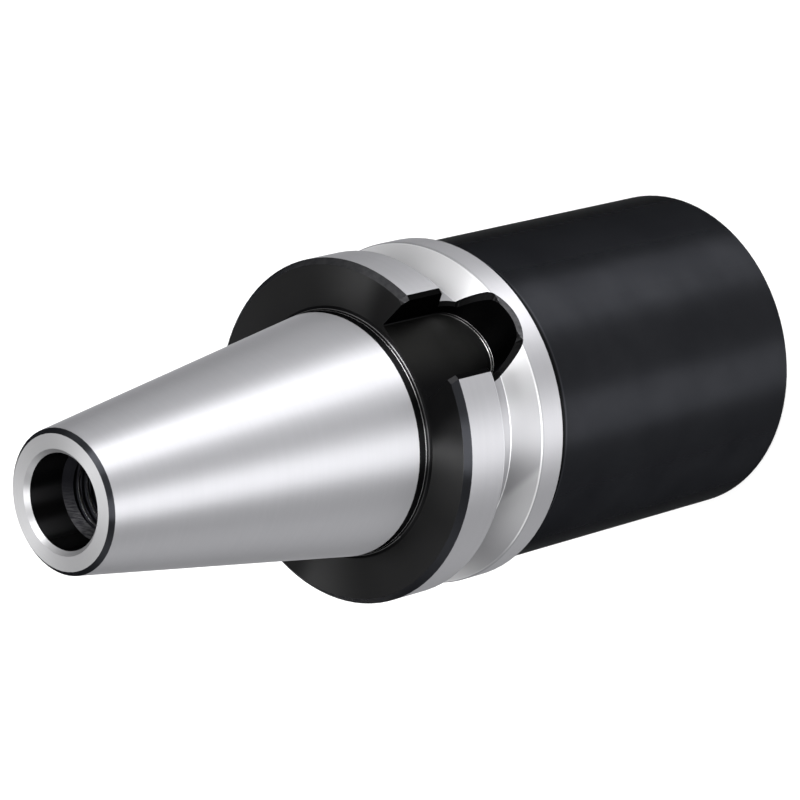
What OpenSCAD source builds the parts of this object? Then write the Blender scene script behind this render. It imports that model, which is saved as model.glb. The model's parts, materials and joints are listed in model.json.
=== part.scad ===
// Steep-taper tool holder with a side-locked bore for indexable drills.
// The nose face lies on z = 0 and the taper points up. The first drive slot faces +X,
// and the two clamp screws are in line with the second one, on -X.

/* [Taper shank] */
// Taper diameter at the gauge line
gauge_d = 44.45; // [42:0.05:46]
// Length of the taper from the gauge line to its small end
taper_len = 65.4; // [60:0.1:75]
// Diameter that the taper loses
taper_fall = 7; // [5:0.5:8]
// over this length along the axis
taper_run = 24; // [20:1:30]
// Edge break around the small end
tail_chamfer = 0.75; // [0.3:0.05:1.5]
// Neck between the gauge line and the flange
neck_len = 2; // [1.5:0.1:4]
// Fillet where the neck meets the flange
neck_fillet = 0.9; // [0.3:0.1:1.2]

/* [Flange] */
// Flange diameter
flange_d = 63; // [61.5:0.1:68]
// Flange thickness
flange_t = 25; // [23:0.1:32]
// Edge break on the rear rim
rear_chamfer = 1.1; // [0.4:0.1:1.5]
// Edge break on the front rim
front_chamfer = 0.2; // [0.1:0.05:1]
// From the gauge line to the middle of the V groove
groove_pos = 16.6; // [15:0.1:18]
// Width of the groove's floor
groove_floor_w = 4.2; // [2:0.1:6]
// Diameter of the groove's floor
groove_d = 53; // [50:0.1:56]
// Angle between the groove's walls
groove_angle = 60; // [50:1:70]
// Edge break on the groove's corners
groove_break = 0.35; // [0.1:0.05:0.6]

/* [Drive slots] */
// Width of a drive slot
slot_w = 16.1; // [12:0.1:20]
// From the axis to the floor of a slot
slot_floor = 22.6; // [22.5:0.1:25]
// From the rear face of the flange to the round end of a slot
slot_len = 20.7; // [14:0.1:22]
// Radius in the corner of the slot's floor
slot_corner = 0.3; // [0.2:0.1:1]
// Width of the edge break around a slot
slot_break_w = 1; // [0.4:0.05:1.2]
// Depth of that edge break
slot_break_h = 0.45; // [0.2:0.05:0.8]

/* [Nose] */
// Nose diameter
nose_d = 60; // [54:0.5:60.5]
// Length of the nose in front of the flange
nose_len = 66; // [62:0.5:100]
// Edge break around the nose face
nose_chamfer = 1; // [0.5:0.1:2]
// Fillet where the nose meets the flange
nose_fillet = 0.7; // [0.2:0.1:1]

/* [Tool bore] */
// Diameter of the bore for the drill's shank
tool_d = 32; // [25:0.5:34]
// Depth of that bore from the nose face
tool_depth = 65; // [60:0.5:80]
// Lead-in at the mouth of the bore
tool_chamfer = 1.2; // [0.5:0.1:2]
// Diameter of the coolant passage
coolant_d = 10; // [6:0.5:13]

/* [Pull stud hole] */
// Diameter of the plain pilot at the small end
pilot_d = 17; // [16.5:0.1:18.5]
// Depth of the pilot
pilot_depth = 8.1; // [6:0.1:10]
// Lead-in at the mouth of the pilot
pilot_chamfer = 0.8; // [0.2:0.1:1.2]
// Outer diameter of the pull stud's thread
thread_d = 16; // [14:0.5:16]
// Depth at which the thread ends, from the small end
thread_depth = 37; // [25:0.5:39]
// Diameter of the hole drilled before tapping
tap_d = 13.9; // [13.2:0.1:13.9]
// Depth of the tapping hole, from the small end
tap_depth = 43; // [40:0.5:50]

/* [Clamp screws] */
// Outer diameter of a clamp screw
screw_d = 15.9; // [12:0.1:18]
// Play around a screw in its tapped hole
screw_play = 0.05; // [0.02:0.01:0.1]
// From the nose face to the front screw
front_screw_z = 22; // [14:0.5:24]
// From the nose face to the rear screw
rear_screw_z = 47; // [44:0.5:52]
// How far a screw's socket end sits below the nose's surface
screw_recess = 2; // [1.7:0.1:3]
// Space between a backed-off screw and the bore's wall
tip_gap = 0.5; // [0.3:0.1:1.5]
// Edge break on the socket end
screw_chamfer = 0.8; // [0.3:0.1:1.2]
// Bevel around the flat point
point_bevel = 1.5; // [0.5:0.1:2.5]
// Hexagon socket, across its flats
socket_af = 8; // [6:0.5:9]
// Depth of the hexagon socket
socket_depth = 6.5; // [4:0.5:7]
// Countersink at the mouth of a screw hole
screw_sink = 1.5; // [0.5:0.1:1.6]

/* [Hidden] */
$fn = 96;
drill_angle = 118;
over = 1;
fillet_steps = 5;
edge_steps = 8;
wedge_inside = 0.5;
wedge_outside = 0.1;
wedge_over = 0.5;
socket_over = 0.2;

nose_r = nose_d / 2;
flange_r = flange_d / 2;
gauge_r = gauge_d / 2;
tool_r = tool_d / 2;
flange_front = nose_len;
flange_rear = flange_front + flange_t;
gauge_z = flange_rear + neck_len;
tail_z = gauge_z + taper_len;
tail_r = taper_r(taper_len);
slot_r = slot_w / 2;
slot_end_z = flange_rear - slot_len + slot_r;
screw_r = screw_d / 2;
screw_hole_r = screw_r + screw_play;
screw_tip = tool_r + tip_gap;
screw_top = nose_r - screw_recess;

// Radius of the taper at a distance behind the gauge line
function taper_r(from_gauge) = gauge_r - from_gauge * taper_fall / taper_run / 2;

// Points of an arc around [x, z], between two angles
function arc(x, z, radius, from, to) = [
    for (i = [0 : fillet_steps])
        let (a = from + (to - from) * i / fillet_steps)
        [x + radius * cos(a), z + radius * sin(a)]
];

// Height of a drill's cone between two radii
function drill_cone(large, small) = (large - small) / tan(drill_angle / 2);

// Outline of the nose, from the middle of its face to the flange
function nose_outline() =
    let (f = min(nose_fillet, 0.9 * (flange_r - front_chamfer - nose_r)))
    concat(
        [[0, 0], [nose_r - nose_chamfer, 0], [nose_r, nose_chamfer]],
        arc(nose_r + f, flange_front - f, f, 180, 90)
    );

// Outline of the flange's rim with its V groove
function flange_outline() =
    let (
        z = gauge_z - groove_pos,
        depth = flange_r - groove_d / 2,
        lean = tan(groove_angle / 2),
        floor_half = groove_floor_w / 2,
        rim_half = floor_half + depth * lean,
        b = groove_break
    ) [
        [flange_r - front_chamfer, flange_front],
        [flange_r, flange_front + front_chamfer],
        [flange_r, z - rim_half - b],
        [flange_r - b, z - rim_half + b * lean],
        [flange_r - depth, z - floor_half],
        [flange_r - depth, z + floor_half],
        [flange_r - b, z + rim_half - b * lean],
        [flange_r, z + rim_half + b],
        [flange_r, flange_rear - rear_chamfer],
        [flange_r - rear_chamfer, flange_rear],
    ];

// Outline of the neck and the taper, up to the middle of the small end
function shank_outline() = concat(
    arc(gauge_r + neck_fillet, flange_rear + neck_fillet, neck_fillet, 270, 180),
    [
        [gauge_r, gauge_z],
        [taper_r(taper_len - tail_chamfer), tail_z - tail_chamfer],
        [tail_r - tail_chamfer, tail_z],
        [0, tail_z],
    ]
);

// Bore from the nose face: lead-in, plain bore and drill point, down to the axis
module tool_bore() {
    flare = tool_r + tool_chamfer + over;
    rotate_extrude()
        polygon([
            [0, -over],
            [flare, -over],
            [tool_r, tool_chamfer],
            [tool_r, tool_depth],
            [0, tool_depth + drill_cone(tool_r, 0)],
        ]);
}

// Hole from the small end: pilot, thread at its outer diameter, tapping hole and coolant passage
module pull_stud_hole() {
    pilot_r = pilot_d / 2;
    thread_r = thread_d / 2;
    tap_r = tap_d / 2;
    coolant_r = coolant_d / 2;
    pilot_floor = tail_z - pilot_depth;
    tap_floor = tail_z - tap_depth;
    rotate_extrude()
        polygon([
            [0, tail_z + over],
            [pilot_r + pilot_chamfer + over, tail_z + over],
            [pilot_r, tail_z - pilot_chamfer],
            [pilot_r, pilot_floor],
            [thread_r, pilot_floor - (pilot_r - thread_r)],
            [thread_r, tail_z - thread_depth],
            [tap_r, tail_z - thread_depth - (thread_r - tap_r)],
            [tap_r, tap_floor],
            [coolant_r, tap_floor - drill_cone(tap_r, coolant_r)],
            [coolant_r, tool_depth],
            [0, tool_depth],
        ]);
}

// Half of a slot's section: half width against distance from the axis
function slot_half(top) = concat(
    [[0, slot_floor]],
    arc(slot_r - slot_corner, slot_floor + slot_corner, slot_corner, 270, 360),
    [[slot_r, top], [0, top]]
);

// Milled drive slot on +X, open to the rear face and round at its other end
module drive_slot() {
    top = flange_r + over;
    half = slot_half(top);
    whole = concat(half, [for (i = [len(half) - 2 : -1 : 1]) [-half[i][0], half[i][1]]]);
    translate([0, 0, slot_end_z]) {
        rotate([0, 0, 90])
            mirror([0, 1, 0])
                linear_extrude(flange_rear + over - slot_end_z)
                    polygon(whole);
        rotate([0, 90, 0])
            rotate([0, 0, -90])
                rotate_extrude(angle = 180)
                    polygon(half);
    }
    slot_edge_break();
}

// Radius of the flange's surface at a height, on the rim and in the V groove
function rim_r(height) = lookup(height, [for (p = flange_outline()) [p[1], p[0]]]);

// Distance from the YZ plane to that surface, at a width position and a height
function rim_x(y, height) = sqrt(pow(rim_r(height), 2) - y * y);

// Angles at which the broken edge of a slot's round end crosses a corner of the flange's outline
function end_stops() = concat(
    [-90],
    [
        for (p = flange_outline())
            let (drop = (p[1] - slot_end_z) / (slot_r + slot_break_w))
            if (drop > -1 && drop < 0) asin(drop)
    ],
    [0]
);

// Half of the path along a slot's edge, from the middle of its round end to its open end:
// width position, height and the outward direction of the wall
function half_path() =
    let (stops = end_stops())
    concat(
        [
            for (i = [0 : len(stops) - 2], k = [0 : edge_steps - 1])
                let (a = stops[i] + (stops[i + 1] - stops[i]) * k / edge_steps)
                [slot_r * cos(a), slot_end_z + slot_r * sin(a), cos(a), sin(a)]
        ],
        [[slot_r, slot_end_z, 1, 0]],
        [for (p = flange_outline()) if (p[1] > slot_end_z) [slot_r, p[1], 1, 0]],
        [[slot_r, flange_rear + over, 1, 0]]
    );

// Wedge that breaks the slot's edge all the way along the rim and through the V groove
module slot_edge_break() {
    half = half_path();
    other = [for (i = [len(half) - 1 : -1 : 1]) [-half[i][0], half[i][1], -half[i][2], half[i][3]]];
    path = concat(other, half);
    last = len(path) - 1;
    wedge = [
        for (p = path)
            let (
                edge_x = rim_x(p[0], p[1]),
                wall = [edge_x - slot_break_h, p[0], p[1]],
                y = p[0] + p[2] * slot_break_w,
                z = p[1] + p[3] * slot_break_w,
                rim = [rim_x(y, z), y, z],
                inner = wall - (rim - wall) * wedge_inside,
                outer = rim + (rim - wall) * wedge_outside,
                top_x = max(edge_x, outer[0]) + wedge_over
            )
            each [inner, outer, [top_x, inner[1], inner[2]]]
    ];
    sides = [
        for (i = [0 : last - 1], k = [0 : 2])
            let (a = 3 * i + k, b = 3 * i + (k + 1) % 3)
            each [[a, b, b + 3], [a, b + 3, a + 3]]
    ];
    polyhedron(wedge, concat([[2, 1, 0]], sides, [[3 * last, 3 * last + 1, 3 * last + 2]]));
}

// Tapped hole for a clamp screw, from the nose's surface on -X into the tool bore
module screw_hole(height) {
    mouth_r = screw_hole_r + screw_sink;
    translate([0, 0, height])
        rotate([0, -90, 0]) {
            cylinder(r = screw_hole_r, h = nose_r + over);
            translate([0, 0, nose_r - screw_sink])
                cylinder(r1 = screw_hole_r, r2 = mouth_r + over, h = screw_sink + over);
        }
}

// Set screw along -X with a flat bevelled point and a hexagon socket
module clamp_screw(height) {
    socket_floor = screw_top - socket_depth;
    translate([0, 0, height])
        rotate([0, -90, 0])
            difference() {
                rotate_extrude()
                    polygon([
                        [0, screw_tip],
                        [screw_r - point_bevel, screw_tip],
                        [screw_r, screw_tip + point_bevel],
                        [screw_r, screw_top - screw_chamfer],
                        [screw_r - screw_chamfer, screw_top],
                        [0, screw_top],
                    ]);
                translate([0, 0, socket_floor])
                    cylinder(d = socket_af / cos(30), h = socket_depth + over, $fn = 6);
                translate([0, 0, screw_top - socket_sink()])
                    cylinder(r1 = socket_af / 2, r2 = socket_af / 2 + socket_sink() + over,
                        h = socket_sink() + over);
            }
}

// Depth of the lead-in that reaches past the socket's corners
function socket_sink() = socket_af / 2 / cos(30) - socket_af / 2 + socket_over;

module holder_body() {
    color([0.16, 0.17, 0.19])
        difference() {
            rotate_extrude()
                polygon(concat(nose_outline(), flange_outline(), shank_outline()));
            tool_bore();
            pull_stud_hole();
            drive_slot();
            rotate([0, 0, 180])
                drive_slot();
            screw_hole(front_screw_z);
            screw_hole(rear_screw_z);
        }
}

module front_clamp_screw() {
    color([0.12, 0.12, 0.13])
        clamp_screw(front_screw_z);
}

module rear_clamp_screw() {
    color([0.12, 0.12, 0.13])
        clamp_screw(rear_screw_z);
}

holder_body();
front_clamp_screw();
rear_clamp_screw();
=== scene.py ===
# %% [markdown]
# # A steep-taper drill holder in Blender
#
# The holder is one piece of steel: a ground taper that seats in the machine's spindle, a flange with a V groove and
# two drive slots, and a long black nose with a bore for the drill. Two set screws on the far side lock the drill.
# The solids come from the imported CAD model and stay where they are. This lesson adds the camera, the finish of every
# surface, the thread that is too fine for the solids, the floor and the lamps.

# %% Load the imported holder
import json
import math

import bmesh
import bpy
from mathutils import Matrix, Vector


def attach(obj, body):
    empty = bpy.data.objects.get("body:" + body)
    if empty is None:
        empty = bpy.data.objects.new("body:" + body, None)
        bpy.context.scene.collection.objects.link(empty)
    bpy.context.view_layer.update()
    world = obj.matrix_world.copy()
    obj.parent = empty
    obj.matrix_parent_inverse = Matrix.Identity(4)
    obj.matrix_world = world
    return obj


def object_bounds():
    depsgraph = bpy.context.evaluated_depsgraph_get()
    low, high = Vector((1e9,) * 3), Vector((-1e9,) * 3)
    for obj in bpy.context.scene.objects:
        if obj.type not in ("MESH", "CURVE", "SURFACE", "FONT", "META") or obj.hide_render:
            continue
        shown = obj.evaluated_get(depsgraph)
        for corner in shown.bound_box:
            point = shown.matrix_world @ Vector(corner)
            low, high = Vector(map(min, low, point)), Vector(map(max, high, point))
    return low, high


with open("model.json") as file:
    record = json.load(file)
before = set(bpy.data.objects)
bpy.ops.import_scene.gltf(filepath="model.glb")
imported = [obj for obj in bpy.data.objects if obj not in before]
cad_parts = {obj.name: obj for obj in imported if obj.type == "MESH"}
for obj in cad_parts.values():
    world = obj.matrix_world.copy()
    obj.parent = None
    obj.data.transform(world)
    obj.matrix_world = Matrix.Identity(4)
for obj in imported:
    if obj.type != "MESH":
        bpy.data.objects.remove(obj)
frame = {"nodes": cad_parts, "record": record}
cad_low, cad_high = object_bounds()
MM = 0.001
print("nodes", sorted(frame["nodes"]), "height in mm", round(cad_high.z / MM, 1))

# %% [markdown]
# ## The heights and radii that the finish follows
#
# The finish changes at real edges: the grinding wheel ends at the gauge line, the black starts at an edge break. The
# record's mounts and the node's box give most of these places, so they aren't measured again. The few widths that
# neither of them holds are written here once.

# %% Heights of the taper and the flange
mounts = {m["name"]: m for m in frame["record"]["mounts"]}


def mount_z(name):
    """Height of a mount in metres."""
    return mounts[name]["pos_m"][2]


def mount_radius(name):
    """Radius of a round mount in metres."""
    return mounts[name]["dims"]["r_mm"] * MM


tail_z = cad_high.z
gauge_z = mount_z("spindle_taper")
groove_z = mount_z("changer_groove")
neck_len = 2 * MM
flange_thickness = 25 * MM
flange_rear_z = gauge_z - neck_len
flange_front_z = flange_rear_z - flange_thickness
print("gauge line at", round(gauge_z / MM, 2), "flange from", round(flange_front_z / MM, 2))

# %% Rims, V groove and edge breaks
rim_r = cad_high.x
rear_chamfer = 1.1 * MM
front_chamfer = 0.2 * MM
tail_chamfer = 0.75 * MM
groove_floor_r = 26.5 * MM
groove_half = 2.1 * MM
groove_lean = math.radians(30)
groove_rim_half = groove_half + (rim_r - groove_floor_r) * math.tan(groove_lean)
print("groove is", round(2 * groove_rim_half / MM, 2), "mm wide at the rim")

# %% Drive slots and holes
slot_r = 8.05 * MM
slot_len = 20.7 * MM
slot_corner = 0.3 * MM
slot_break = 1.0 * MM
slot_floor_x = mounts["drive_slot_front"]["pos_m"][0]
slot_end_z = flange_rear_z - slot_len + slot_r
tool_bore_r = mount_radius("tool_bore")
tool_bore_lead = 1.2 * MM
tool_bore_depth = 65 * MM
pilot_r = mount_radius("pull_stud_pilot")
pilot_chamfer = 0.8 * MM
pilot_floor_z = tail_z - 8.1 * MM
thread_r = mount_radius("pull_stud_thread")
thread_end_z = tail_z - 37 * MM
print("slot floor at", round(slot_floor_x / MM, 2), "thread radius", round(thread_r / MM, 2))

# %% [markdown]
# ## The camera
#
# The photograph shows the holder lying along a diagonal, small end first, with long-lens perspective. Here the holder
# stands on its nose, so the camera looks down at it from the side of the first drive slot and is rolled until the
# picture matches. An aim point, a distance and three angles are easier to read than a matrix, and they build one.

# %% A camera from angles
def turned_camera(azimuth, elevation, roll, aim, distance):
    """World matrix of a camera that looks at aim from that direction."""
    level = math.cos(elevation)
    back = Vector((math.cos(azimuth) * level, math.sin(azimuth) * level, math.sin(elevation)))
    right = (-back).cross(Vector((0, 0, 1))).normalized()
    up = back.cross(right)
    turned_right = right * math.cos(roll) + up * math.sin(roll)
    turned_up = back.cross(turned_right)
    axes = Matrix((turned_right, turned_up, back)).transposed()
    return Matrix.Translation(aim + back * distance) @ axes.to_4x4()


print("camera helper ready")

# %% Place the camera
camera_aim = Vector((1.209, 2.721, 74.085)) * MM
camera_distance = 848.58 * MM
camera_azimuth = math.radians(-23.958)
camera_elevation = math.radians(44.808)
camera_roll = math.radians(-103.990)
camera_lens = 210.453

camera = bpy.data.objects.new("camera", bpy.data.cameras.new("camera"))
bpy.context.scene.collection.objects.link(camera)
camera.data.lens = camera_lens
camera.data.clip_start = 0.05
camera.data.clip_end = 20
camera.matrix_world = turned_camera(
    camera_azimuth, camera_elevation, camera_roll, camera_aim, camera_distance
)
bpy.context.scene.camera = camera
print("camera at", [round(v, 3) for v in camera.location])

# %% [markdown]
# ## A few words for shader graphs
#
# The finishes are procedural: each surface point works out how far it is from the axis and how high it stands, and
# the mask follows from that. Written node by node that gets long, so a small helper class gives each node a short
# call. Every method returns an output socket, which the next call can take as an input. A second class adds the
# words for masks, which are values of 0 or 1, and for the soft steps and mixes between finishes.

# %% Nodes and links
class Graph:
    """Short calls that add nodes to a material or a world and link them."""

    def __init__(self, tree):
        self.tree = tree
        self.tree.nodes.clear()

    def node(self, kind, **settings):
        """A new node with its settings."""
        made = self.tree.nodes.new(kind)
        for name, value in settings.items():
            setattr(made, name, value)
        return made

    def feed(self, socket, value):
        """Links a socket to another one, or writes a plain value into it."""
        if isinstance(value, bpy.types.NodeSocket):
            self.tree.links.new(value, socket)
        else:
            socket.default_value = value

    def filled(self, kind, *values, **settings):
        """A new node whose first inputs take the values in turn."""
        made = self.node(kind, **settings)
        for socket, value in zip(made.inputs, values):
            self.feed(socket, value)
        return made

    def math(self, operation, *values):
        """Result of one Math node."""
        return self.filled("ShaderNodeMath", *values, operation=operation).outputs[0]

    def combine(self, x, y, z):
        """Vector from three values."""
        return self.filled("ShaderNodeCombineXYZ", x, y, z).outputs[0]


print("node helper ready")


# %% Masks, soft steps and mixes
class FinishGraph(Graph):
    """Words for masks and mixes."""

    def times(self, first, *others):
        """Product of all values. A product of masks is 1 where all of them are 1."""
        for value in others:
            first = self.math("MULTIPLY", first, value)
        return first

    def any_of(self, first, *others):
        """1 where any of the masks is 1."""
        for value in others:
            first = self.math("MAXIMUM", first, value)
        return first

    def above(self, value, limit):
        return self.math("GREATER_THAN", value, limit)

    def below(self, value, limit):
        return self.math("LESS_THAN", value, limit)

    def between(self, value, low, high):
        return self.times(self.above(value, low), self.below(value, high))

    def near(self, value, middle, half_width):
        """1 within half_width of the middle value."""
        return self.between(value, middle - half_width, middle + half_width)

    def ramp(self, value, start, end):
        """0 up to start and 1 from end on, with a soft step between them. Start may be the larger one."""
        made = self.node("ShaderNodeMapRange", interpolation_type="SMOOTHSTEP")
        for name, number in (("Value", value), ("From Min", start), ("From Max", end)):
            self.feed(made.inputs[name], number)
        return made.outputs[0]

    def spread(self, value, low, high):
        """Turns a value from 0 to 1 into one from low to high."""
        made = self.node("ShaderNodeMapRange")
        for name, number in (("Value", value), ("To Min", low), ("To Max", high)):
            self.feed(made.inputs[name], number)
        return made.outputs[0]

    def noise(self, vector, scale, detail, roughness):
        made = self.node("ShaderNodeTexNoise")
        settings = {"Vector": vector, "Scale": scale, "Detail": detail, "Roughness": roughness}
        for name, number in settings.items():
            self.feed(made.inputs[name], number)
        return made.outputs[0]

    def mix(self, data_type, socket_type, factor, a, b):
        """Goes from a to b as the factor goes from 0 to 1."""
        made = self.node("ShaderNodeMix", data_type=data_type)
        self.feed(made.inputs[0], factor)
        ends = [s for s in made.inputs if s.type == socket_type][-2:]
        for socket, value in zip(ends, (a, b)):
            self.feed(socket, value)
        return next(s for s in made.outputs if s.type == socket_type)

    def mix_colours(self, factor, a, b):
        return self.mix("RGBA", "RGBA", factor, a, b)

    def mix_values(self, factor, a, b):
        return self.mix("FLOAT", "VALUE", factor, a, b)

    def layered(self, tone, layers):
        """Lays colours over a tone, each one where its mask is 1."""
        for mask, colour in layers:
            tone = self.mix_colours(mask, tone, colour)
        return tone


print("mask helper ready")

# %% [markdown]
# ## A material with one shader
#
# All metal parts here use Blender's Principled shader. Its inputs are given by name, and what is the same all over a
# surface goes straight into the shader's own socket, because the export keeps it only there.

# %% Helpers for materials
def new_material(name):
    """A material and the graph that fills it."""
    material = bpy.data.materials.new(name)
    material.use_nodes = True
    return material, FinishGraph(material.node_tree)


def show(graph, shader):
    """Links a shader to the material's output."""
    graph.feed(graph.node("ShaderNodeOutputMaterial").inputs["Surface"], shader.outputs[0])


def show_principled(graph, settings):
    """Makes a Principled shader with these inputs the material's surface."""
    shader = graph.node("ShaderNodeBsdfPrincipled")
    for name, value in settings.items():
        graph.feed(shader.inputs[name], value)
    show(graph, shader)


def dress(node_name, material):
    """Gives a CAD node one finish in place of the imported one."""
    node = frame["nodes"][node_name]
    node.data.materials.clear()
    node.data.materials.append(material)


print("material helpers ready")

# %% [markdown]
# ## Where a point lies on a turned piece
#
# Everything on a lathe is described by a radius and a height, and the cutter's fine lines run around the axis. The
# marks are made by noise that changes quickly with radius and height and hardly at all around the axis. The
# direction across the marks is also the tangent that the steel's stretched highlights need.

# %% Lathe coordinates
class Spot:
    """Sockets that say where a shading point lies: its place, x, y and z, and its distance from the axis."""

    def __init__(self, graph):
        self.place = graph.node("ShaderNodeTexCoord").outputs["Object"]
        self.x, self.y, self.z = graph.filled("ShaderNodeSeparateXYZ", self.place).outputs
        squares = graph.math("ADD", graph.times(self.x, self.x), graph.times(self.y, self.y))
        self.radius = graph.math("SQRT", squares)


def across_marks(graph, spot):
    """Direction in the surface at right angles to the lathe marks."""
    around = graph.combine(graph.times(spot.y, -1.0), spot.x, 0.0)
    normal = graph.node("ShaderNodeNewGeometry").outputs["Normal"]
    return graph.filled("ShaderNodeVectorMath", normal, around, operation="CROSS_PRODUCT").outputs[0]


def turning_lines(graph, spot, fineness, drift):
    """Noise in fine rings around the axis; drift says how fast it changes along a ring."""
    along_x = graph.times(graph.math("DIVIDE", spot.x, spot.radius), drift)
    along_y = graph.times(graph.math("DIVIDE", spot.y, spot.radius), drift)
    rings = graph.combine(
        graph.math("MULTIPLY_ADD", spot.radius, fineness, along_x),
        graph.math("MULTIPLY_ADD", spot.z, fineness, along_y),
        along_x,
    )
    return graph.noise(rings, 1.0, 3.0, 0.6)


print("lathe coordinates ready")

# %% [markdown]
# ## Where a point lies beside a drive slot
#
# Each slot is milled with a round cutter, so its edge is everywhere one cutter radius away from the slot's middle
# line. One distance therefore finds the walls, the round end and the edge break. The two slots are half a turn
# apart: y times the sign of x is the distance to the right of a slot's middle, as one looks at that slot.

# %% Places of the body
HAIR = 0.02 * MM


class BodySpot(Spot):
    """A spot that also knows how it lies to the nearer drive slot."""

    def __init__(self, graph):
        super().__init__(graph)
        self.reach = graph.math("ABSOLUTE", self.x)
        self.side = graph.times(self.y, graph.math("SIGN", self.x))
        past_end = graph.math("MINIMUM", graph.math("SUBTRACT", self.z, slot_end_z), 0.0)
        squares = graph.math("ADD", graph.times(self.y, self.y), graph.times(past_end, past_end))
        self.from_slot = graph.math("SQRT", squares)
        self.in_slot = graph.times(
            graph.above(self.reach, slot_floor_x - HAIR),
            graph.between(self.z, flange_front_z + front_chamfer, flange_rear_z - HAIR),
            graph.below(self.from_slot, slot_r + slot_break),
        )


print("slots end in a round from", round(slot_end_z / MM, 2), "to", round((slot_end_z - slot_r) / MM, 2))

# %% [markdown]
# ## Where the grinding wheel has been
#
# Such a holder is blackened all over first, then the surfaces that have to run true are ground bright: the taper,
# the small end, the flange's rim with its V groove, and the tool bore. The slots, the neck, the rear face of the
# flange and the nose stay black. One mask says which is which, and the later masks only tell tones within each.

# %% Mask of the ground surfaces
GROUND_FROM_Z = gauge_z + 0.45 * MM
GROUND_TO_Z = tail_z - tail_chamfer
LAND_INNER_R = groove_floor_r - 5 * HAIR


def small_end_masks(graph, spot):
    """The flat ring of the small end, and the lead-in of its hole."""
    flat_end = graph.above(spot.z, tail_z - HAIR)
    mouth = graph.times(
        graph.above(spot.z, tail_z - pilot_chamfer),
        graph.below(spot.radius, pilot_r + pilot_chamfer),
    )
    return flat_end, mouth


def ground_mask(graph, spot):
    """1 where the body is ground bright and 0 where it is black."""
    mouth_r = pilot_r + pilot_chamfer + HAIR
    taper = graph.times(
        graph.between(spot.z, GROUND_FROM_Z, GROUND_TO_Z),
        graph.above(spot.radius, mouth_r),
    )
    small_end = graph.above(spot.z, tail_z - HAIR / 2)
    mouth = graph.times(graph.above(spot.z, tail_z - pilot_chamfer), graph.below(spot.radius, mouth_r))
    lands = graph.times(
        graph.between(spot.z, flange_front_z + front_chamfer / 3, flange_rear_z - rear_chamfer),
        graph.above(spot.radius, LAND_INNER_R),
        graph.above(spot.from_slot, slot_r + slot_break),
    )
    bore = graph.times(
        graph.below(spot.radius, tool_bore_r + HAIR),
        graph.between(spot.z, tool_bore_lead, tool_bore_depth - HAIR),
    )
    return graph.any_of(taper, small_end, mouth, lands, bore)


print("taper ground from", round(GROUND_FROM_Z / MM, 2), "to", round(GROUND_TO_Z / MM, 2))

# %% [markdown]
# ## Grey and dark edges
#
# Some edge breaks are a patchy grey: on the rear rim to the right of a slot and below the slot's round end. The other
# edge breaks of the slots lie in shade and get painted shade, so they stay nearly black.

# %% Masks of the edge breaks
GREY_RIM_START = (0.0, 4 * MM)
GREY_RIM_END = (31 * MM, 28 * MM)
GREY_RIM_SHARE_AT_SLOT = 0.3
GREY_END_TO_GROOVE = 0.6 * MM


def grey_edge_mask(graph, spot):
    """1 on the edge breaks that are grey."""
    right_of_slot = graph.times(graph.ramp(spot.side, *GREY_RIM_START), graph.ramp(spot.side, *GREY_RIM_END))
    rear_rim = graph.times(
        graph.between(spot.z, flange_rear_z - rear_chamfer, flange_rear_z - HAIR),
        graph.above(spot.radius, rim_r - rear_chamfer),
        right_of_slot,
        graph.spread(graph.above(spot.from_slot, slot_r + slot_break), GREY_RIM_SHARE_AT_SLOT, 1.0),
    )
    slot_end = graph.times(
        graph.between(spot.from_slot, slot_r + HAIR, slot_r + slot_break),
        graph.between(spot.z, flange_front_z + front_chamfer, groove_z - groove_rim_half - GREY_END_TO_GROOVE),
        graph.above(spot.radius, groove_floor_r),
    )
    return graph.any_of(rear_rim, slot_end)


def shaded_edge_mask(graph, spot):
    """1 on the slot's edge breaks that get painted shade: all but the left one through the rear land."""
    past_rear_land = graph.below(spot.z, groove_z + groove_rim_half)
    right_edge = graph.above(spot.side, 0.0)
    return graph.times(
        spot.in_slot,
        graph.above(spot.from_slot, slot_r + HAIR),
        graph.any_of(past_rear_land, right_edge),
    )


print("masks of the edge breaks ready")

# %% [markdown]
# ## Where painted shade darkens the black
#
# Little light gets into the slots, round the neck and down the pull stud's hole, so painted shade darkens the black
# there. Painted shade also darkens the rear face beside each slot, less on its right. On the nose a narrow ring of
# painted shade runs just below the flange, and a thin painted highlight marks where it begins. The solid's nose is
# plain there.

# %% Masks of the painted shade
TAPER_FOOT_R = 22 * MM
NOSE_OUTER_R = rim_r - 1 * MM
NECK_INNER_R = 20 * MM
NECK_TOP_Z = gauge_z + 0.5 * MM
FACE_SHADE = 0.97
FACE_SHADE_RIGHT = 0.25
FACE_SHADE_EDGES = (slot_r + 8 * MM, slot_r + 4 * MM)
NOSE_RING_SHADE = 0.95
NOSE_RING_SOFTNESS = 0.35 * MM
relief_z = flange_front_z - 2.4 * MM
RELIEF_LINE_PLACE = (relief_z - 0.15 * MM, 0.17 * MM)
RELIEF_LINE_INNER_R = 29 * MM


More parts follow.
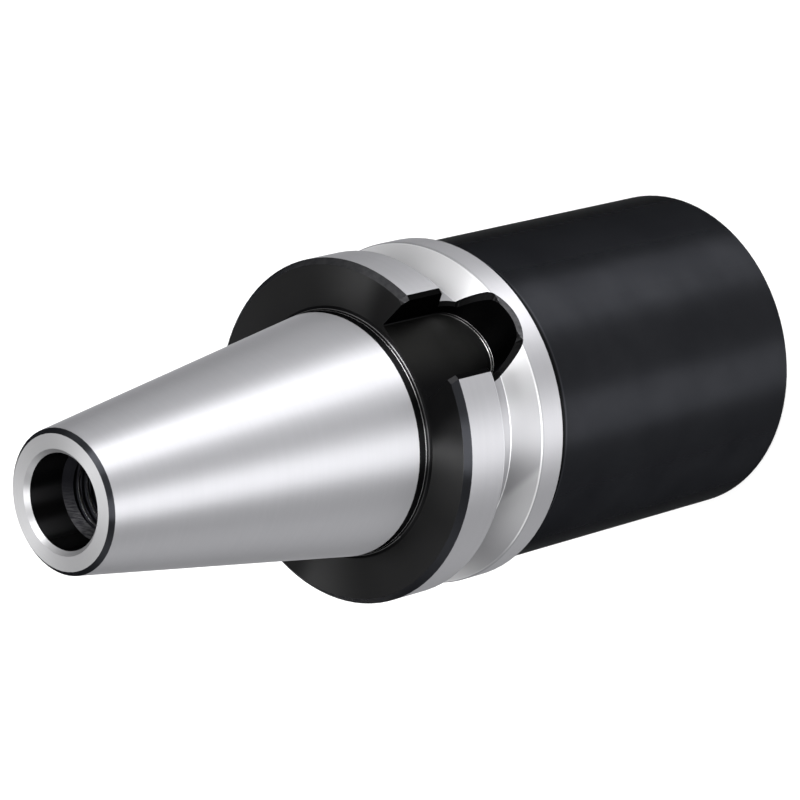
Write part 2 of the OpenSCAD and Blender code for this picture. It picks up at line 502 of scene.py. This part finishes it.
def shade_mask(graph, spot):
    """How much painted shade darkens the black: full in the slots and holes, soft on the face beside a slot and under
    the flange.
    """
    pilot = graph.times(
        graph.below(spot.radius, pilot_r + HAIR),
        graph.between(spot.z, thread_end_z, tail_z - pilot_chamfer - HAIR),
    )
    neck = graph.times(
        graph.between(spot.z, flange_rear_z + HAIR, NECK_TOP_Z),
        graph.above(spot.radius, NECK_INNER_R),
    )
    on_left = graph.below(graph.times(spot.x, spot.y), 0.0)
    beside_slot = graph.times(
        graph.above(spot.z, flange_rear_z - HAIR),
        graph.above(spot.radius, TAPER_FOOT_R),
        graph.ramp(spot.from_slot, *FACE_SHADE_EDGES),
        graph.spread(on_left, FACE_SHADE_RIGHT, 1.0),
        FACE_SHADE,
    )
    under_flange = graph.times(
        graph.below(spot.radius, NOSE_OUTER_R),
        graph.below(spot.z, flange_front_z),
        graph.ramp(spot.z, relief_z, relief_z + NOSE_RING_SOFTNESS),
        NOSE_RING_SHADE,
    )
    return graph.any_of(spot.in_slot, pilot, neck, beside_slot, under_flange)


def relief_highlight_mask(graph, spot):
    """The thin painted highlight on the nose where the painted shade under the flange begins."""
    return graph.times(
        graph.between(spot.radius, RELIEF_LINE_INNER_R, NOSE_OUTER_R),
        graph.near(spot.z, *RELIEF_LINE_PLACE),
    )


print("dark ring on the nose from", round(relief_z / MM, 2))

# %% [markdown]
# ## The flange's rear face
#
# The face is turned, so its marks run around the axis and mirror a high lamp as light wedges that point at the axis.
# The photograph shows one on each side of the slot. They are painted by angle: the distance to the side over the
# radius is the sine of the angle from the slot. Each pair below is where a wedge's edge starts and where it is full.

# %% Masks of the rear face
LEFT_WEDGE = ((-0.54, -0.68), (-0.95, -0.75))
RIGHT_WEDGE = ((0.40, 0.56), (0.90, 0.62))
RIGHT_WEDGE_SHARE = 0.55


def rear_face_mask(graph, spot):
    """1 on the flat rear face of the flange."""
    return graph.times(graph.near(spot.z, flange_rear_z, HAIR), graph.above(spot.radius, TAPER_FOOT_R))


def wedge_mask(graph, spot):
    """A lighter wedge on each side of a slot, the right one nearer and weaker."""
    sine = graph.math("DIVIDE", spot.side, spot.radius)
    left, right = (
        graph.times(*(graph.ramp(sine, *edge) for edge in wedge)) for wedge in (LEFT_WEDGE, RIGHT_WEDGE)
    )
    return graph.any_of(left, graph.times(right, RIGHT_WEDGE_SHARE))


wedge_degrees = [round(math.degrees(math.asin(full))) for start, full in LEFT_WEDGE + RIGHT_WEDGE]
print("wedges are full between", wedge_degrees, "degrees from the slot")

# %% [markdown]
# ## Hair lines of light
#
# A small rounding catches a lamp somewhere on its curve whatever the view, and shows it as a line as thin as a hair.
# There is one pair on the rounding between neck and flange and one pair in the corner of a slot's round end. The
# solids have these roundings, but at this size only a painted line stays sharp.

# %% Lines at the neck
# Each place is a middle and half a width.
UPPER_LINE = (flange_rear_z + 0.86 * MM, 0.07 * MM)
LOWER_LINE = (flange_rear_z + 0.32 * MM, 0.06 * MM)
LOWER_LINE_RISE = (-14 * MM, 2 * MM)
LOWER_LINE_SHARES = (0.06, 0.22)
NECK_R = 23.2 * MM


def neck_lines(graph, spot):
    """The two lines on the rounding between neck and flange: the upper bright, the lower faint."""
    upper = graph.near(spot.z, *UPPER_LINE)
    lower = graph.near(spot.z, *LOWER_LINE)
    lower_share = graph.spread(graph.ramp(spot.side, *LOWER_LINE_RISE), *LOWER_LINE_SHARES)
    at_neck = graph.between(spot.radius, TAPER_FOOT_R, NECK_R)
    return graph.times(at_neck, graph.any_of(upper, graph.times(lower, lower_share)))


print("neck lines from", round((LOWER_LINE[0] - flange_rear_z) / MM, 2), "mm above the rear face")

# %% Lines in the slot's corner
FLOOR_LINE = (slot_r - slot_corner, 0.08 * MM)
WALL_LINE = (slot_corner, 0.05 * MM)
WALL_LINE_SHARE = 0.9
RIGHT_LINE_SHARE = 0.5
SIDE_CHANGE = (3 * MM, -3 * MM)


def slot_lines(graph, spot):
    """The two lines along the corner of the slot's round end: one on its floor, one on its wall."""
    height = graph.math("SUBTRACT", spot.reach, slot_floor_x)
    on_floor = graph.times(
        graph.near(spot.from_slot, *FLOOR_LINE),
        graph.below(height, slot_corner),
    )
    on_wall = graph.times(
        graph.near(height, *WALL_LINE),
        graph.near(spot.from_slot, slot_r, slot_corner),
        WALL_LINE_SHARE,
    )
    by_side = graph.spread(graph.ramp(spot.side, *SIDE_CHANGE), RIGHT_LINE_SHARE, 1.0)
    round_end = graph.ramp(spot.z, slot_end_z - 1 * MM, slot_end_z - slot_r)
    return graph.times(graph.any_of(on_floor, on_wall), by_side, spot.in_slot, round_end)


print("slot lines", round((slot_r - FLOOR_LINE[0]) / MM, 2), "mm inside the wall")

# %% [markdown]
# ## The flange's V groove
#
# The tool changer grips the holder in this groove. Its wall that faces the small end mirrors other lamps than the rims
# do, so it gets a painted tone of its own that stands in for that light, with a painted highlight to the right of each
# slot. Two corners of the groove get painted highlights as hair-thin lines. What is painted bright fades out towards x
# = 0, where the left of one slot meets the right of the other.

# %% Masks of the rims and the groove's wall
BRIGHT_WALL_RISE = (-18 * MM, -6 * MM)
FAR_LEFT_RISE = (-24 * MM, -25.5 * MM)
FAR_LEFT_SHARE = 0.45
WALL_FADE = (0.0, 14 * MM)


def groove_wall_mask(graph, spot):
    """1 on the groove's wall that faces the small end."""
    wall_z = groove_z - (groove_half + groove_rim_half) / 2
    wall_half = (groove_rim_half - groove_half) / 2
    return graph.times(graph.near(spot.z, wall_z, wall_half), graph.above(spot.radius, groove_floor_r))


def land_mask(graph, spot):
    """1 on the rims and the rest of the groove, which are ground a little duller than the taper."""
    on_flange = graph.times(
        graph.between(spot.z, flange_front_z, flange_rear_z),
        graph.above(spot.radius, LAND_INNER_R),
    )
    return graph.times(on_flange, graph.math("SUBTRACT", 1.0, groove_wall_mask(graph, spot)))


def wall_highlight_mask(graph, spot):
    """Where the wall gets a painted highlight: right of each slot, and a weaker share on the far left."""
    right = graph.ramp(spot.side, *BRIGHT_WALL_RISE)
    far_left = graph.times(graph.ramp(spot.side, *FAR_LEFT_RISE), FAR_LEFT_SHARE)
    return graph.times(graph.any_of(right, far_left), graph.ramp(spot.reach, *WALL_FADE))


print("groove's wall is", round((groove_rim_half - groove_half) / MM, 2), "mm high")

# %% Mask of the groove's painted corner highlights
RIM_CORNER = (groove_z - groove_rim_half, 0.10 * MM)
FLOOR_CORNER = (groove_z - groove_half + 0.1 * MM, 0.12 * MM)
CORNER_RISE = (18 * MM, 4 * MM)
CORNER_FADE = (0.0, 8 * MM)


def corner_highlight_mask(graph, spot):
    """Painted highlights on the two hair-thin corners of the groove, on the left of each slot."""
    rim_corner = graph.times(
        graph.near(spot.z, *RIM_CORNER),
        graph.above(spot.radius, rim_r - 1 * MM),
    )
    floor_corner = graph.times(
        graph.near(spot.z, *FLOOR_CORNER),
        graph.above(spot.radius, groove_floor_r - HAIR),
    )
    left_side = graph.times(graph.ramp(spot.side, *CORNER_RISE), graph.ramp(spot.reach, *CORNER_FADE))
    return graph.times(graph.any_of(rim_corner, floor_corner), left_side)


print("bright corners at", [round(place[0] / MM, 2) for place in (RIM_CORNER, FLOOR_CORNER)])

# %% [markdown]
# ## Black oxide
#
# Black oxide is a thin dark skin, slightly blue where it is even. It could be one colour, but a real skin is a little
# cloudy, and some of its edge breaks are a patchy grey. Painted shade darkens it where little light reaches, and
# painted light and highlights brighten the rear face's wedges, the slot's floor, a line on the nose and the hair
# lines. So the tones are laid over each other from the broad surfaces to the finest lines, each with its mask.

# %% Tones of the black surfaces
BLACK_OXIDE = (0.0135, 0.0140, 0.0160, 1)
BLACK_OXIDE_CLOUD = (0.0172, 0.0178, 0.0200, 1)
# Painted shade: the tone where little light reaches.
BLACK_OXIDE_SHADE = (0.0055, 0.0055, 0.0058, 1)
REAR_FACE = (0.0138, 0.0138, 0.0141, 1)
REAR_FACE_LIGHT = (0.0440, 0.0440, 0.0445, 1)
# Painted highlight where the dark ring on the nose begins.
RELIEF_HIGHLIGHT = (0.0245, 0.0254, 0.0288, 1)
# Painted shade on the slot's edge breaks.
EDGE_BREAK_SHADE = (0.0034, 0.0034, 0.0035, 1)
GREY_EDGE_TONE = (0.040, 0.040, 0.042, 1)
SLOT_FLOOR = (0.0150, 0.0150, 0.0147, 1)
# Painted light on the slot's floor, strongest towards the round end.
SLOT_FLOOR_PAINTED_LIGHT = (0.0680, 0.0680, 0.0670, 1)
# Painted highlights of the hair lines.
NECK_GLINT = (0.36, 0.36, 0.365, 1)
SLOT_GLINT = (0.90, 0.90, 0.90, 1)
CLOUD_REACH = (-0.4, 1.3)
OXIDE_ROUGHNESS = (0.34, 0.40)
OXIDE_CLOUD_ROUGHNESS = (-0.03, 0.03)
GLINT_ROUGHNESS = 0.30
FLOOR_LIGHT_SIDE = 3 * MM


def slot_floor_light_layer(graph, spot):
    """Mask and tone of the slot's floor: painted light, lighter towards the round end and a little right of the
    middle, fading into the painted shade at its sides.
    """
    to_round_end = graph.ramp(spot.z, slot_end_z + 3 * MM, slot_end_z - slot_r)
    tone = graph.mix_colours(to_round_end, SLOT_FLOOR, SLOT_FLOOR_PAINTED_LIGHT)
    from_light = graph.math("ABSOLUTE", graph.math("SUBTRACT", spot.side, FLOOR_LIGHT_SIDE))
    lighter = graph.ramp(from_light, slot_r + 1.5 * MM, 1 * MM)
    on_floor = graph.below(spot.reach, slot_floor_x + HAIR)
    return graph.times(spot.in_slot, on_floor, lighter), tone


def hair_line_layers(graph, spot):
    """Masks and tones of the hair lines."""
    return (neck_lines(graph, spot), NECK_GLINT), (slot_lines(graph, spot), SLOT_GLINT)


def oxide_tone(graph, spot, cloud, hair_lines):
    """Colour of the black surfaces with their painted shade and painted highlights, laid from the broad ones to the
    finest lines.
    """
    tone = graph.mix_colours(graph.spread(cloud, *CLOUD_REACH), BLACK_OXIDE, BLACK_OXIDE_CLOUD)
    patchy = graph.ramp(graph.noise(spot.place, 900.0, 3.0, 0.6), 0.25, 0.75)
    grey_patches = graph.times(grey_edge_mask(graph, spot), graph.spread(patchy, 0.45, 1.0))
    return graph.layered(tone, (
        (rear_face_mask(graph, spot), graph.mix_colours(wedge_mask(graph, spot), REAR_FACE, REAR_FACE_LIGHT)),
        (shade_mask(graph, spot), BLACK_OXIDE_SHADE),
        (relief_highlight_mask(graph, spot), RELIEF_HIGHLIGHT),
        (shaded_edge_mask(graph, spot), EDGE_BREAK_SHADE),
        slot_floor_light_layer(graph, spot),
        (grey_patches, GREY_EDGE_TONE),
        *hair_lines,
    ))


def oxide_roughness(graph, broad, cloud, hair_lines):
    """Roughness of the black surfaces, with smoother hair lines."""
    rough = graph.math(
        "ADD", graph.spread(broad, *OXIDE_ROUGHNESS), graph.spread(cloud, *OXIDE_CLOUD_ROUGHNESS)
    )
    glint = graph.any_of(*(mask for mask, tone in hair_lines))
    return graph.mix_values(glint, rough, GLINT_ROUGHNESS)


print("black oxide ready")

# %% [markdown]
# ## Ground steel
#
# A grinding wheel leaves fine lines of two widths, which move the colour and the roughness a little. The taper is the
# brightest, the flange is ground duller, and the small end and the lead-in of its hole have tones of their own
# because they were cut in another pass.

# %% Tones of the ground surfaces
GROUND_STEEL = (0.318, 0.318, 0.331, 1)
GROUND_STEEL_DARK = (0.280, 0.280, 0.292, 1)
BLACK = (0, 0, 0, 1)
LAND_DULLNESS = 0.10
# Painted light on the groove's wall that faces the small end, and its painted highlight.
GROOVE_WALL = (0.310, 0.310, 0.320, 1)
WALL_PAINTED_HIGHLIGHT = (0.620, 0.620, 0.630, 1)
END_FACE = (0.280, 0.280, 0.285, 1)
MOUTH = (0.22, 0.22, 0.225, 1)
# Painted highlight on two corners of the groove.
CORNER_HIGHLIGHT = (0.62, 0.62, 0.63, 1)
STEEL_ROUGHNESS = (0.64, 0.72)
LAND_ROUGHNESS = (0.71, 0.79)
MOUTH_ROUGHNESS = 0.46


def steel_tone(graph, spot, fine, broad):
    """Colour of the ground surfaces, with painted light on the groove's wall and painted highlights on the groove's
    corners.
    """
    lines = graph.math("MULTIPLY_ADD", fine, 0.5, graph.times(broad, 0.5))
    wall_painted_light = graph.mix_colours(wall_highlight_mask(graph, spot), GROOVE_WALL, WALL_PAINTED_HIGHLIGHT)
    flat_end, mouth = small_end_masks(graph, spot)
    return graph.layered(graph.mix_colours(lines, GROUND_STEEL_DARK, GROUND_STEEL), (
        (graph.times(land_mask(graph, spot), LAND_DULLNESS), BLACK),
        (groove_wall_mask(graph, spot), wall_painted_light),
        (flat_end, END_FACE),
        (mouth, MOUTH),
        (corner_highlight_mask(graph, spot), CORNER_HIGHLIGHT),
    ))


def steel_roughness(graph, spot, fine):
    """Roughness of the ground surfaces."""
    rough = graph.spread(fine, *STEEL_ROUGHNESS)
    rough = graph.mix_values(land_mask(graph, spot), rough, graph.spread(fine, *LAND_ROUGHNESS))
    return graph.mix_values(small_end_masks(graph, spot)[1], rough, MOUTH_ROUGHNESS)


print("ground steel ready")

# %% [markdown]
# ## Both finishes in one shader
#
# Ground steel reflects along its grinding lines as a streak, because the lines run around the axis: a strip lamp
# becomes a band that runs the whole length of the taper. The shader's anisotropy does this, with the direction across
# the marks as its tangent. The black skin has the same marks under it and shows the same bands, only faint. The slots
# were milled, so they have no anisotropy. A very shallow bump breaks up the light.

# %% Finish of the body
FINE_LINES = (9000.0, 1.6)
BROAD_LINES = (1400.0, 0.7)
END_ANISOTROPY = 0.62
GREY_TINT = (0.3, 0.3, 0.3, 1)


def body_material():
    """Ground steel and black oxide, with the mask of the ground surfaces between them."""
    material, graph = new_material("ground_steel_and_black_oxide")
    spot = BodySpot(graph)
    fine = turning_lines(graph, spot, *FINE_LINES)
    broad = turning_lines(graph, spot, *BROAD_LINES)
    cloud = graph.noise(spot.place, 90.0, 3.0, 0.55)
    ground = ground_mask(graph, spot)
    hair_lines = hair_line_layers(graph, spot)
    black = oxide_tone(graph, spot, cloud, hair_lines)
    rough_black = oxide_roughness(graph, broad, cloud, hair_lines)
    bright = steel_tone(graph, spot, fine, broad)
    rough_bright = steel_roughness(graph, spot, fine)
    turned = graph.math("SUBTRACT", 1.0, spot.in_slot)
    at_end = graph.any_of(*small_end_masks(graph, spot))
    bump = graph.node("ShaderNodeBump")
    for name, value in (("Strength", 0.12), ("Distance", 0.01 * MM), ("Height", fine)):
        graph.feed(bump.inputs[name], value)
    show_principled(graph, {
        "Base Color": graph.mix_colours(ground, black, bright),
        "Metallic": 1.0,
        "Specular Tint": GREY_TINT,
        "Roughness": graph.mix_values(ground, rough_black, rough_bright),
        "Tangent": across_marks(graph, spot),
        "Anisotropic": graph.mix_values(at_end, turned, END_ANISOTROPY),
        "Normal": bump.outputs[0],
    })
    return material


dress("holder_body", body_material())
print("holder_body dressed with", len(bpy.data.materials["ground_steel_and_black_oxide"].node_tree.nodes), "nodes")

# %% [markdown]
# ## The clamp screws
#
# The two set screws are bought parts with a black skin of their own, darker and less even than the body's. They are
# small and sit in their holes, so a cloudy dark colour with a cloudy gloss is enough.

# %% Finish of the clamp screws
SCREW_BLACK = (0.006, 0.006, 0.007, 1)
SCREW_BLACK_CLOUD = (0.014, 0.014, 0.015, 1)


def screw_material():
    """Cloudy black skin."""
    material, graph = new_material("screw_black_oxide")
    cloud = graph.noise(Spot(graph).place, 260.0, 3.0, 0.6)
    show_principled(graph, {
        "Base Color": graph.mix_colours(graph.spread(cloud, *CLOUD_REACH), SCREW_BLACK, SCREW_BLACK_CLOUD),
        "Roughness": graph.spread(cloud, 0.3, 0.44),
        "Specular IOR Level": 0.35,
    })
    return material


screw_finish = screw_material()
for screw in ("front_clamp_screw", "rear_clamp_screw"):
    dress(screw, screw_finish)
print("screws dressed")

# %% [markdown]
# ## The pull stud's thread
#
# The solid's tapped hole is a plain bore at the thread's outer diameter. Its ridges are a mesh of their own: a row of
# points across one pitch is carried round and down the hole. Rows that would pass the floor of the countersink or
# the end of the thread are held there, so both ends come out flat.

# %% Shape of one pitch
PITCH = 2 * MM
ROOT_FLAT = PITCH / 8
CREST_FLAT = PITCH / 4
FLANK = (PITCH - ROOT_FLAT - CREST_FLAT) / 2
ROOT_R = thread_r - HAIR
CREST_R = 6.92 * MM
SINK_DEPTH = 1.2 * MM
THREAD_START = math.radians(224)
sink_floor_z = pilot_floor_z - SINK_DEPTH


def ridge_height(along):
    """Share of the full ridge at a place across the pitch, from the middle of the root."""
    to_crest = min(along, PITCH - along) - ROOT_FLAT / 2
    return min(max(to_crest / FLANK, 0.0), 1.0)


def thread_point(turns, along):
    """Point of the thread's surface after a number of turns, at a place across the pitch."""
    z = sink_floor_z + PITCH * (1 - turns) - along
    z = min(max(z, thread_end_z), sink_floor_z)
    r = ROOT_R - (ROOT_R - CREST_R) * ridge_height(along)
    angle = THREAD_START - 2 * math.pi * turns
    return Vector((r * math.cos(angle), r * math.sin(angle), z))


print("ridge is", round((ROOT_R - CREST_R) / MM, 2), "mm high")

# %% Mesh of the ridges
TURN_STEPS = 72
ROW_STEPS = 12


def finished_mesh(name, shape):
    """Turns a worked shape into a smooth mesh."""
    mesh = bpy.data.meshes.new(name)
    shape.to_mesh(mesh)
    shape.free()
    mesh.shade_smooth()
    return mesh


def thread_mesh(name):
    """The ridges, without the faces that the two flat ends press to nothing."""
    turn_count = (sink_floor_z - thread_end_z) / PITCH + 1
    steps = int(turn_count * TURN_STEPS)
    shape = bmesh.new()
    rows = [
        [shape.verts.new(thread_point(i / TURN_STEPS, PITCH * k / ROW_STEPS)) for k in range(ROW_STEPS + 1)]
        for i in range(steps + 1)
    ]
    for row, after in zip(rows, rows[1:]):
        for k in range(ROW_STEPS):
            corners = (row[k], row[k + 1], after[k + 1], after[k])
            heights = [v.co.z for v in corners]
            if min(heights) < sink_floor_z and max(heights) > thread_end_z:
                shape.faces.new(corners)
    bmesh.ops.remove_doubles(shape, verts=shape.verts, dist=0.001 * MM)
    bmesh.ops.delete(shape, geom=[v for v in shape.verts if not v.link_faces], context="VERTS")
    return finished_mesh(name, shape)


thread_ridges = thread_mesh("pull_stud_thread_ridges")
print("thread has", len(thread_ridges.polygons), "faces")

# %% [markdown]
# ## The countersink above the thread
#
# A tapped hole starts with a countersink, so that the first turn isn't pushed up by the tap. It is a ring of its own,
# from the pilot's floor down to the first crest, and a strip of faces between two circles makes it.

# %% Mesh of the countersink
SINK_R = 8.45 * MM


def sink_mesh(name):
    """A ring of narrow strips from the pilot's floor down to the thread's crest."""
    shape = bmesh.new()
    angles = [2 * math.pi * i / TURN_STEPS for i in range(TURN_STEPS)]
    rings = [
        [shape.verts.new((r * math.cos(a), r * math.sin(a), z)) for a in angles]
        for r, z in ((SINK_R, pilot_floor_z), (CREST_R, sink_floor_z))
    ]
    for i in range(TURN_STEPS):
        after = (i + 1) % TURN_STEPS
        shape.faces.new((rings[0][i], rings[1][i], rings[1][after], rings[0][after]))
    return finished_mesh(name, shape)


sink_ring = sink_mesh("pull_stud_countersink")
print("countersink has", len(sink_ring.polygons), "faces")

# %% [markdown]
# ## The finish inside the hole
#
# The ridges keep their black in the roots, and the tap leaves the crests bright. Both crests and countersink are
# painted lighter on the side where light from outside falls in. The countersink shows fine tool marks that cross it at
# a slant, which a noise stretched in one direction gives.

# %% Finish of the ridges and the countersink
CREST = (0.90, 0.90, 0.91, 1)
CREST_SHADE = (0.10, 0.10, 0.10, 1)
CREST_WIDTH = 0.05 * MM
ROOT = (0.003, 0.003, 0.004, 1)
ROOT_CLOUD = (0.009, 0.009, 0.010, 1)
RING = (0.024, 0.024, 0.025, 1)
RING_SHADE = (0.005, 0.005, 0.006, 1)


def lit_side(graph, spot):
    """1 on the side of the hole where light from outside falls in, 0 on the other."""
    towards = graph.math("MULTIPLY_ADD", spot.y, -0.6, graph.times(spot.x, -1.0))
    return graph.ramp(towards, 1 * MM, 9 * MM)


def thread_material():
    """Bright crests over dark roots, with the crests painted lighter on the side where light falls in."""
    material, graph = new_material("tapped_thread_oxide")
    spot = Spot(graph)
    cloud = graph.noise(spot.place, 700.0, 3.0, 0.6)
    dark = graph.mix_colours(cloud, ROOT, ROOT_CLOUD)
    crest_tone = graph.mix_colours(lit_side(graph, spot), CREST_SHADE, CREST)
    show_principled(graph, {
        "Base Color": graph.mix_colours(graph.below(spot.radius, CREST_R + CREST_WIDTH), dark, crest_tone),
        "Metallic": 1.0,
        "Roughness": graph.spread(cloud, 0.24, 0.36),
    })
    return material


def sink_material():
    """Fine tool marks that cross a dark ring, and a painted lighter side."""
    material, graph = new_material("countersink_oxide")
    spot = Spot(graph)
    along = graph.times(graph.math("SUBTRACT", spot.x, spot.y), 0.15)
    slant = graph.combine(graph.math("ADD", spot.x, spot.y), along, 0.0)
    marks = graph.ramp(graph.noise(slant, 2600.0, 2.0, 0.6), 0.3, 0.7)
    light_ring = graph.mix_colours(marks, RING_SHADE, RING)
    show_principled(graph, {
        "Base Color": graph.mix_colours(lit_side(graph, spot), RING_SHADE, light_ring),
        "Metallic": 1.0,
        "Roughness": graph.spread(marks, 0.34, 0.44),
    })
    return material


print("finishes of the hole ready")


# %% Put both pieces into the hole
def add_to_hole(mesh, material):
    """Adds a piece that belongs to the holder's steel."""
    piece = bpy.data.objects.new(mesh.name, mesh)
    bpy.context.scene.collection.objects.link(piece)
    piece.data.materials.append(material)
    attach(piece, "holder")
    print(piece.name, "rides on the holder")


add_to_hole(thread_ridges, thread_material())
add_to_hole(sink_ring, sink_material())

# %% [markdown]
# ## The floor and the background
#
# The holder stands on a plain pale floor. The floor has to look white to the camera and in the steel, and still has
# to hold a soft shadow. So it is a pale diffuse surface with a share of its own light, which only camera, glossy and
# transmission rays see: what lights the holder stays the lamps and the world. Far from the lamps the floor needs
# more of its own light to stay white up to the horizon.

# %% Material of the floor
FLOOR_COLOUR = (0.45, 0.45, 0.45, 1)
WHITE = (1, 1, 1, 1)
FLOOR_GLOW = 0.45
FLOOR_GLOW_FAR = 0.84
FLOOR_NEAR = 0.4
FLOOR_FAR = 2.4


def seen_rays(graph):
    """1 for the rays that show a surface, 0 for the rays that light the scene."""
    path = graph.node("ShaderNodeLightPath")
    return graph.any_of(*(path.outputs[f"Is {kind} Ray"] for kind in ("Camera", "Glossy", "Transmission")))


def floor_material():
    """Pale floor with its own light for the rays that show it."""
    material, graph = new_material("studio_floor")
    diffuse = graph.filled("ShaderNodeBsdfDiffuse", FLOOR_COLOUR)
    away = graph.ramp(Spot(graph).radius, FLOOR_NEAR, FLOOR_FAR)
    own_light = graph.spread(away, FLOOR_GLOW, FLOOR_GLOW_FAR)
    glow = graph.filled("ShaderNodeEmission", WHITE, graph.times(seen_rays(graph), own_light))
    show(graph, graph.filled("ShaderNodeAddShader", diffuse.outputs[0], glow.outputs[0]))
    return material


print("floor material ready")

# %% Floor and world
HALF_FLOOR = 6.0
WORLD_LIGHT = 0.35

corner_signs = ((-1, -1), (1, -1), (1, 1), (-1, 1))
floor_mesh = bpy.data.meshes.new("floor")
floor_mesh.from_pydata([(HALF_FLOOR * x, HALF_FLOOR * y, 0) for x, y in corner_signs], [], [(0, 1, 2, 3)])
floor = bpy.data.objects.new("floor", floor_mesh)
bpy.context.scene.collection.objects.link(floor)
floor.data.materials.append(floor_material())

world = bpy.data.worlds.new("studio")
bpy.context.scene.world = world
world.use_nodes = True
sky = FinishGraph(world.node_tree)
backdrop = sky.filled("ShaderNodeBackground", WHITE, sky.spread(seen_rays(sky), WORLD_LIGHT, 1.0))
sky.feed(sky.node("ShaderNodeOutputWorld").inputs["Surface"], backdrop.outputs[0])
print("floor and world ready")

# %% [markdown]
# ## Lamps
#
# Two strip lamps make the two bands on the steel. Seen from the holder, the camera stands at an azimuth of -24
# degrees, and a lamp's band lies about halfway between the camera and the lamp. Two high lamps reach the surfaces
# that face the small end: the end ring, the flange's rear face and the groove's wall. One lamp on each side gives
# the taper's edges their softer light, and one behind keeps the far side readable.

# %% Place the lamps
LAMP_AIM = Vector((0, 0, 0.08))
LAMPS = (
    # name, azimuth in degrees, distance and height in metres, width and height of the lamp, watts
    ("right_strip", 22, 0.95, 0.60, (0.60, 0.80), 25.5),
    ("left_strip", -51, 0.95, 0.60, (0.50, 0.80), 17.5),
    ("front_high", -9, 0.35, 1.38, (0.40, 0.40), 4.0),
    ("right_high", 60, 0.70, 1.29, (0.50, 0.50), 4.5),
    ("right_side", 85, 1.00, 1.08, (0.50, 0.50), 3.0),
    ("left_side", -130, 1.00, 1.17, (0.80, 0.80), 6.0),
    ("back_soft", 150, 1.20, 0.70, (0.80, 0.80), 5.0),
)


def place_lamp(name, azimuth_deg, distance, height, size, power):
    """Area lamp that faces the middle of the holder from that side."""
    data = bpy.data.lights.new(name, "AREA")
    data.shape = "RECTANGLE"
    data.size, data.size_y = size
    data.energy = power
    made = bpy.data.objects.new(name, data)
    bpy.context.scene.collection.objects.link(made)
    angle = math.radians(azimuth_deg)
    made.location = (math.cos(angle) * distance, math.sin(angle) * distance, height)
    made.rotation_euler = (LAMP_AIM - made.location).to_track_quat("-Z", "Y").to_euler()
    made.visible_camera = False


for row in LAMPS:
    place_lamp(*row)

# %% [markdown]
# ## Colour handling
#
# The Standard view shows colours about as they are written.

# %% Colour handling
bpy.context.scene.view_settings.view_transform = "Standard"
